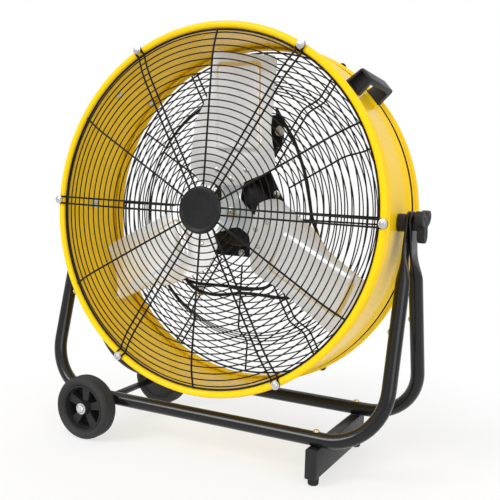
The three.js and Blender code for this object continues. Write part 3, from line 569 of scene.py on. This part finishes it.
if sum(f.normal.y for f in plate.faces) > 0:
    bmesh.ops.reverse_faces(plate, faces=plate.faces)
bmesh.ops.solidify(plate, geom=plate.faces, thickness=0.003)
bmesh.ops.recalc_face_normals(plate, faces=plate.faces)
join(plate, soften(turn([(6.5, 2), (14, 2), (14, 9.5), (6.5, 9.5)], 48), 0.5))
piece("trefoil_hub", plate, "rotor", plated_steel, "pale_steel", "hub_plate",
      place=rotor_place(0))

RIVETS = ((77, 38), (83.5, -18), (63, 8))
rivets = bmesh.new()
for k in range(3):
    for r, s in RIVETS:
        spot = blade_point(r, s, 1) / 1000
        lean = Matrix.Rotation(radians(PITCH), 4, "X")
        join(rivets, dome(5.6, 2.6), Matrix.Rotation(radians(-120 * k), 4, "Y")
             @ Matrix.Translation(spot) @ lean)
piece("blade_rivets", rivets, "rotor", bright_zinc, "aluminium", place=rotor_place(0))

NUT_RADIUS, NUT_DEPTH = 0.0105, 0.0085
nut = bmesh.new()
bmesh.ops.create_cone(nut, cap_ends=True, segments=6, radius1=NUT_RADIUS, radius2=NUT_RADIUS,
                      depth=NUT_DEPTH, matrix=Matrix.Translation((0, -0.00325, 0))
                      @ Matrix.Rotation(radians(90), 4, "X"))
soften(nut, 0.7, 2)
piece("shaft_nut", nut, "rotor", brass_zinc, "brass_zinc", "hub_nut", place=rotor_place(0))
shaft = soften(turn([(0, -12), (6, -12), (6, 36), (0, 36)], 40), 1, 2)
piece("rotor_shaft", shaft, "rotor", bright_zinc, "zinc", "motor_shaft", place=rotor_place(0))


# ---- Motor ------------------------------------------------------------------------------
# A closed motor in a black steel can with a pressed rear bell. A three-cornered plate and
# three bolts hold it in the rear guard's middle.
motor_black = surface("motor_black", (0.006, 0.006, 0.007), (0.011, 0.011, 0.012),
                      (0.3, 0.42), patches=12, grain=700, bump=0.08)
can = turn([(0, 16), (18, 16), (20, 22), (50, 24), (63, 30), (66, 38), (66, 60.4),
            (70, 60.4), (70, 95.8), (0, 95.8)], 96)
soften(can, 1.6, 3, over=20)
bell = turn([(0, 96.4), (70, 96.4), (70, 104), (65, 111), (46, 119), (20, 122), (17, 126),
             (0, 126)], 96)
soften(bell, 1.6, 3, over=12)
join(bell, turn([(69.6, 94.6), (71.2, 94.6), (71.2, 97.8), (69.6, 97.8)], 96))
BOLT_CIRCLE, INNER_FACE = 0.0795, 0.0571
plate_bolts = bmesh.new()
for a in (radians(30), radians(150), radians(270)):
    spot = Matrix.Translation((BOLT_CIRCLE * cos(a), INNER_FACE, BOLT_CIRCLE * sin(a)))
    join(plate_bolts, dome(4.6, 3, 7, 1.2), spot)
piece("motor_can", can, "drum", motor_black, "black_paint", "motor_shell", place=DRUM)
piece("motor_bell", bell, "drum", motor_black, "black_paint", "motor_rear_bell", place=DRUM)
piece("motor_mount", softened("motor_plate", 0.8), "drum", motor_black, "black_paint",
      "motor_plate")
piece("motor_mount_bolts", plate_bolts, "drum", bright_zinc, "zinc", place=DRUM)


# ---- Motor lead -------------------------------------------------------------------------
# A round black lead from the switch box, down the inner side of the rear guard, round one
# loop and into the motor. A clip holds it at the bottom.
lead_black = surface("lead_black", (0.006, 0.006, 0.007), (0.010, 0.010, 0.011),
                     (0.35, 0.5), patches=40, grain=1200, bump=0.05)
LEAD_Y, LEAD_RADIUS, CLIP_X = 57.1, 3.3, -0.089
LEAD = (
    (50, 22, 193.3), (50, 21, 199), (52, 12, 204), (59, 0, 201), (72, -2, 183),
    (86, -1, 163), (99, 0, 143), (112, 0, 115), (125, 0, 82), (136, 0, 42), (147, 0, -4),
    (160, 0, -34), (166, 0, -78), (152, 0, -124), (126, 0, -152), (94, 0, -160),
    (45, 0, -159), (4, 0, -160), (-30, 0, -166), (-62, 0, -169), (-98, -4, -162),
    (-118, -9, -145), (-125, -10, -120), (-132, -10, -97), (-148, -9, -87),
    (-163, -6, -100), (-160, -3, -122), (-146, -1, -136), (-127, 0, -144.5),
    (-97, 0, -149.8), (-60, 0, -149.5), (-25, 0, -148.8), (26, 0, -148.8), (58, 0, -143),
    (74, -2, -126), (74, -6, -104), (60, -8, -86), (47, -8, -67), (38, -8, -54.2),
)


def rounded_route(stops, steps=5):
    """A smooth line through the stops."""
    stops = [Vector(p) for p in stops]
    stops = [2 * stops[0] - stops[1], *stops, 2 * stops[-1] - stops[-2]]
    line = []
    for a, b, c, d in zip(stops, stops[1:], stops[2:], stops[3:]):
        for i in range(steps):
            t = i / steps
            line.append(0.5 * (2 * b + (c - a) * t + (2 * a - 5 * b + 4 * c - d) * t * t
                               + (3 * b - a - 3 * c + d) * t ** 3))
    return line + [stops[-2]]


lead = bmesh.new()
bent_wire(lead, rounded_route([(x, LEAD_Y + y, z) for x, y, z in LEAD]), LEAD_RADIUS, 14)
piece("motor_flex", lead, "drum", lead_black, "black_rubber", "motor_lead", place=DRUM)
clip = bmesh.new()
band = turn([(3, -5), (4.2, -5), (4.2, 5), (3, 5)], 24)
join(clip, band, Matrix.Translation((CLIP_X, LEAD_Y / 1000, -0.1695))
     @ Matrix.Rotation(radians(90), 4, "Z"))
join(clip, dome(4.4, 3, 6.5, 1.4), Matrix.Translation((CLIP_X, 0.0566, -0.158)))
piece("lead_clip", clip, "drum", bright_zinc, "zinc", place=DRUM)


# ---- Switch box -------------------------------------------------------------------------
# A moulded box on the back of the guard, clamped by a steel strap on the inner side. It
# carries the speed knob, and a gland below where the mains lead would enter.
BOX_Z, BOX_NARROWED, FLANGE_SIZE = 0.162, 0.68, (0.144, 0.0032, 0.034, 1)
STRAP_SCREW_X = 0.068
housing = softened("switch_box", 1.2)
for v in housing.verts:
    v.co.x *= BOX_NARROWED
flange = bmesh.new()
bmesh.ops.create_cube(flange, size=1, matrix=DRUM @ Matrix.Translation((0, 0.0662, BOX_Z))
                      @ Matrix.Diagonal(FLANGE_SIZE))
join(housing, soften(flange, 0.8))
piece("switch_housing", housing, "drum", black_plastic, "black_plastic", "switch_box")
piece("housing_strap", softened("switch_box_clamp", 0.7), "drum", motor_black,
      "black_paint", "switch_box_clamp")
strap_screws = bmesh.new()
for x in (-STRAP_SCREW_X, STRAP_SCREW_X):
    join(strap_screws, dome(5, 3.4, 10, 1.6), Matrix.Translation((x, 0.0556, BOX_Z)))
piece("strap_screws", strap_screws, "drum", bright_zinc, "zinc", "clamp_left_screw",
      "clamp_right_screw", place=DRUM)
gland = turn([(4, 115), (8, 115), (10, 123), (10, 130.7), (4, 130.7)], 40)
soften(gland, 0.8, 3)
piece("lead_gland", gland, "drum", black_plastic, "black_plastic", "cord_gland",
      place=DRUM @ Matrix.Translation((0.040, 0.0869, 0)) @ Matrix.Rotation(pi / 2, 4, "X"))
dial = soften(turn([(0, 110.2), (19, 110.2), (18, 115.2), (0, 115.2)], 64), 0.8, 3)
grip = bmesh.new()
bmesh.ops.create_cube(grip, size=1, matrix=Matrix.Translation((0, 0.1203, 0))
                      @ Matrix.Diagonal((0.010, 0.0125, 0.034, 1)))
join(dial, soften(grip, 2.4, 4))
piece("speed_dial", dial, "speed_control", black_plastic, "black_plastic", "speed_knob",
      place=DRUM @ Matrix.Translation((0, 0, BOX_Z)))


# ---- Stand: lower frames ----------------------------------------------------------------
# Two U bends of 25.4 mm steel tube that lean apart, coated black. The legs above are
# pushed in at a seam and held by button head screws.
tube_black = surface("tube_black", (0.006, 0.006, 0.007), (0.010, 0.010, 0.011),
                     (0.16, 0.24), patches=8, grain=900, bump=0.03, coat=0.25)
PIVOT, SEAM_Z, LOWER_Z, SPLAY, TUBE, BEND = 452, 285, 79, 101, 12.7, 100
LEG = hypot(SPLAY, PIVOT - LOWER_Z)
SEAM = (PIVOT - SEAM_Z) / (PIVOT - LOWER_Z) * LEG
SEAM_SCREW_Z = {"front": 270, "rear": 277}
HALF_WIDTH = {"front": 351.4, "rear": 359}
EAR_X = {"front": 350.2, "rear": 356.2}
SIDE = {"front": -1, "rear": 1}


def leg_point(x, side, down):
    """A point at a distance below the pivot in a frame's leaning plane, in mm."""
    return Vector((x, side * SPLAY * down / LEG, PIVOT - (PIVOT - LOWER_Z) * down / LEG))


seam_screws = bmesh.new()
for word, side in SIDE.items():
    half = HALF_WIDTH[word]
    bow = [(half - BEND + BEND * cos(radians(t)), LEG - BEND + BEND * sin(radians(t)))
           for t in range(0, 91, 6)]
    path = [(half, SEAM + 0.3), (half, SEAM + 1.5), *bow]
    path += [(-x, down) for x, down in reversed(path)]
    tube = bmesh.new()
    bent_wire(tube, [leg_point(x, side, down) for x, down in path], TUBE, 32)
    piece(f"{word}_frame_tube", tube, "stand", tube_black, "black_paint",
          f"{word}_lower_frame", crease=40)
    for sign in (1, -1):
        down = (PIVOT - SEAM_SCREW_Z[word]) / (PIVOT - LOWER_Z) * LEG
        spot = leg_point(sign * (half - TUBE + 0.4), side, down) / 1000
        join(seam_screws, dome(5, 2.6), Matrix.Translation(spot)
             @ Matrix.Rotation(radians(-90 * sign), 4, "Z"))
piece("seam_screws", seam_screws, "stand", bright_zinc, "zinc")


# ---- Stand: upper legs ------------------------------------------------------------------
# Four lengths of the same tube. Each is pressed flat at the top into an ear, 38 mm wide
# and rounded off, that the pivot bolt goes through.
EAR_TOP, EAR_THICK, EAR_WIDE = 21, 2.8, 19


def pressed_leg(word, sign):
    """A grid rolled into a tube, and narrowed to the ear over the rows near its top."""
    side = SIDE[word]
    bm = bmesh.new()
    bmesh.ops.create_grid(bm, x_segments=40, y_segments=60, size=0.5)
    slope = Vector((0, PIVOT - LOWER_Z, side * SPLAY)).normalized()
    for v in bm.verts:
        a, down = (v.co.x + 0.5) * 2 * pi, -EAR_TOP + (v.co.y + 0.5) * (SEAM + EAR_TOP)
        flat = 1 - ease((down - 54) / 54)
        thick = TUBE + (EAR_THICK - TUBE) * flat
        wide = TUBE + (EAR_WIDE - TUBE) * (1 - ease((down - 46) / 40))
        if down < 0:
            wide *= sqrt(max(0.0001, 1 - (-down / 21.05) ** 2.4))
            thick *= 1 - 0.3 * (-down / EAR_TOP) ** 8
        middle = leg_point(sign * (HALF_WIDTH[word] + (EAR_X[word] - HALF_WIDTH[word]) * flat),
                           side, down)
        c, s = cos(a), sin(a)
        c = (1 if c > 0 else -1) * abs(c) ** (1 - 0.72 * flat)
        s = (1 if s > 0 else -1) * abs(s) ** (1 - 0.35 * flat)
        v.co = (middle + Vector((thick * c, 0, 0)) + slope * (wide * s)) / 1000
    bmesh.ops.remove_doubles(bm, verts=bm.verts, dist=2e-5)
    bmesh.ops.holes_fill(bm, edges=[e for e in bm.edges if e.is_boundary], sides=0)
    bmesh.ops.recalc_face_normals(bm, faces=bm.faces)
    return bm


for word in SIDE:
    for hand, sign in HANDS:
        piece(f"{word}_{hand}_upper_leg", pressed_leg(word, sign), "stand", tube_black,
              "black_paint", f"{word}_{hand}_leg", crease=50)


# ---- Foot bar ---------------------------------------------------------------------------
# A length of flat box tube under the right ends of both frames, with a moulded plug in
# each end, a rubber foot below and a bolt down through each frame tube.
bar_black = surface("bar_black", (0.012, 0.012, 0.013), (0.019, 0.019, 0.020), (0.36, 0.46),
                    patches=10, grain=900, bump=0.08)
rubber = surface("rubber", (0.016, 0.016, 0.017), (0.024, 0.024, 0.025), (0.7, 0.85),
                 patches=30, grain=1200, bump=0.3)
BAR_X, FOOT_Y, BAR_BOLT_Y, BAR_BOLT_Z = 0.2354, 0.107, 0.101, 0.0919
piece("box_bar", softened("foot_bar", 0.7), "stand", bar_black, "black_paint", "foot_bar")
feet, bar_bolts = bmesh.new(), bmesh.new()
for word, side in SIDE.items():
    piece(f"bar_{word}_end_plug", softened(f"foot_bar_{word}_plug", 0.6), "stand",
          black_plastic, "black_plastic", f"foot_bar_{word}_plug")
    foot = soften(turn([(0, 0), (8, 0), (9.5, 2), (10, 13), (0, 13)], 48), 0.6, 3)
    join(feet, foot, Matrix.Translation((BAR_X, side * FOOT_Y, 0))
         @ Matrix.Rotation(radians(90), 4, "X"))
    join(bar_bolts, dome(4.8, 3.0, 6.2, 1.2),
         Matrix.Translation((BAR_X, side * BAR_BOLT_Y, BAR_BOLT_Z))
         @ Matrix.Rotation(radians(-90), 4, "X"))
piece("rubber_feet", feet, "stand", rubber, "black_rubber", "front_foot", "rear_foot")
piece("bar_bolts", bar_bolts, "stand", brass_zinc, "brass_zinc", "foot_bar_front_bolt",
      "foot_bar_rear_bolt")


# ---- Tilt pivots ------------------------------------------------------------------------
# On each side a bolt from inside the drum goes through a spacer and two leg ears into a
# hand knob with three lobes, which clamps the drum at any tilt.
KNOB_SEAT, KNOB_THICK = 366.4, 13.5


def side_place(sign):
    """Turns a piece drawn along +Y so that it stands out to one side at the pivot."""
    return Matrix.Translation((0, 0, PIVOT / 1000)) @ Matrix.Rotation(radians(-90 * sign), 4, "Z")


def lobed_knob():
    """A disc drawn out into three lobes and thickened, on a round collar."""
    bm = bmesh.new()
    bmesh.ops.create_circle(bm, cap_ends=True, segments=120, radius=1)
    for v in bm.verts:
        a = acos(max(-1.0, min(1.0, v.co.x))) * (1 if v.co.y >= 0 else -1)
        r = 23.5 + 10.5 * cos(3 * (a + pi / 2)) - 0.5 * cos(6 * (a + pi / 2))
        v.co = Vector((r * cos(a), KNOB_SEAT, r * sin(a))) / 1000
    face = list(bm.faces)
    top = bmesh.ops.extrude_face_region(bm, geom=face)
    moved = [v for v in top["geom"] if isinstance(v, bmesh.types.BMVert)]
    bmesh.ops.translate(bm, verts=moved, vec=(0, KNOB_THICK / 1000, 0))
    bmesh.ops.recalc_face_normals(bm, faces=bm.faces)
    soften(bm, 3.6, 5, over=50)
    outer = max(bm.faces, key=lambda f: f.calc_center_median().y)
    for width, depth in ((0.007, 0), (0.0015, -0.0012)):
        bmesh.ops.inset_region(bm, faces=[outer], thickness=width, depth=depth)
    join(bm, soften(turn([(5.4, 359.4), (13, 359.4), (13, 368), (5.4, 368)], 48), 0.6, 2))
    return bm


for hand, sign in HANDS:
    piece(f"{hand}_lobed_knob", lobed_knob(), f"{hand}_knob", black_plastic,
          "black_plastic", f"{hand}_tilt_knob", place=side_place(sign))
    ring = turn([(5.6, 331.7), (15.5, 331.7), (15.5, 347), (5.6, 347)], 64)
    piece(f"{hand}_spacer", soften(ring, 0.8, 3), "stand", black_plastic, "black_plastic",
          f"{hand}_pivot_spacer", place=side_place(sign))
    bolt = turn([(0, 323.6), (5.5, 324), (8.6, 325.6), (9.5, 328.1), (5, 328.1), (5, 378),
                 (0, 378)], 48)
    piece(f"{hand}_through_bolt", soften(bolt, 0.5, 3), "stand", bright_zinc, "zinc",
          f"{hand}_pivot_bolt", place=side_place(sign))


# ---- Axle and wheels --------------------------------------------------------------------
# A rod in a spacer tube joins two moulded wheels with five deep pockets and ribbed tyres.
# A pressed steel cap closes each end of the rod.
wheel_plastic = surface("wheel_plastic", (0.011, 0.011, 0.011), (0.017, 0.017, 0.017),
                        (0.32, 0.44), patches=16, grain=1000, bump=0.08, shine=0.3)
tyre_rubber = surface("tyre_rubber", (0.026, 0.026, 0.027), (0.036, 0.036, 0.037),
                      (0.55, 0.7), patches=14, grain=900, bump=0.15)
WHEEL_Y, POCKETS, POCKET_TURN, POCKET_FLOOR = 132.4, 5, 14, -0.0125
AXLE = Matrix.Translation((-0.238, 0, 0.062))


def wheel_hub():
    """A turned hub with wedge shaped pockets carved into its outer face."""
    body = turn([(4.5, -17.9), (13, -17.9), (14, -15), (40, -15), (42, -13.2), (45, -13.2),
                 (45, 13.2), (42, 13.2), (40.6, 4), (14, 4), (12, 14.2), (4.5, 14.2)], 80)
    openings = bmesh.new()
    for i in range(POCKETS):
        wedge = bmesh.new()
        corners = [(14.2, -2.6), (36.6, -15.4), (39.2, -7), (39.8, 0), (39.2, 7),
                   (36.6, 15.4), (14.2, 2.6)]
        wedge.faces.new([wedge.verts.new((x / 1000, POCKET_FLOOR, z / 1000)) for x, z in corners])
        top = bmesh.ops.extrude_face_region(wedge, geom=list(wedge.faces))
        moved = [v for v in top["geom"] if isinstance(v, bmesh.types.BMVert)]
        bmesh.ops.translate(wedge, verts=moved, vec=(0, 0.06, 0))
        bmesh.ops.recalc_face_normals(wedge, faces=wedge.faces)
        upright = [e for e in wedge.edges if abs(e.verts[0].co.y - e.verts[1].co.y) > 0.01]
        bmesh.ops.bevel(wedge, geom=upright, offset=0.002, segments=3, profile=0.5,
                        affect="EDGES", material=-1)
        join(openings, wedge, Matrix.Rotation(radians(360 / POCKETS * i + POCKET_TURN), 4, "Y"))
    return soften(carved(body, openings), 0.7, 2, over=40)


def tyre():
    """A turned tyre with two grooves round its tread."""
    outline = [(45.7, -13.2), (53, -18.2), (58.5, -16.6), (61.4, -12), (62, -8),
               (62, -6.2), (60.4, -5), (60.4, -2.6), (62, -1.4), (62, 1.4), (60.4, 2.6),
               (60.4, 5), (62, 6.2), (62, 8), (61.4, 12), (58.5, 16.6), (53, 18.2),
               (45.7, 13.2)]
    return soften(turn(outline, 96), 0.5, 2, over=25)


for word, side in SIDE.items():
    out = AXLE @ Matrix.Translation((0, side * WHEEL_Y / 1000, 0))
    if side < 0:
        out = out @ Matrix.Rotation(pi, 4, "Z")
    piece(f"{word}_wheel_centre", wheel_hub(), f"{word}_wheel", wheel_plastic,
          "black_plastic", f"{word}_wheel_hub", place=out, crease=30)
    piece(f"{word}_tyre", tyre(), f"{word}_wheel", tyre_rubber, "black_rubber",
          f"{word}_wheel_tyre", place=out)
    cap = dome(8, 5, 11, 2.4)
    piece(f"{word}_rod_cap", cap, "stand", bright_zinc, "zinc", f"{word}_axle_cap",
          place=out @ Matrix.Translation((0, 0.0146, 0)) @ Matrix.Rotation(pi, 4, "Z"))
rod = turn([(0, -151.6), (4, -151.6), (4, -87.3), (7, -87.3), (7, 87.3), (4, 87.3),
            (4, 151.6), (0, 151.6)], 40)
piece("axle_rod", soften(rod, 0.5, 2), "stand", tube_black, "black_paint", "axle", place=AXLE)
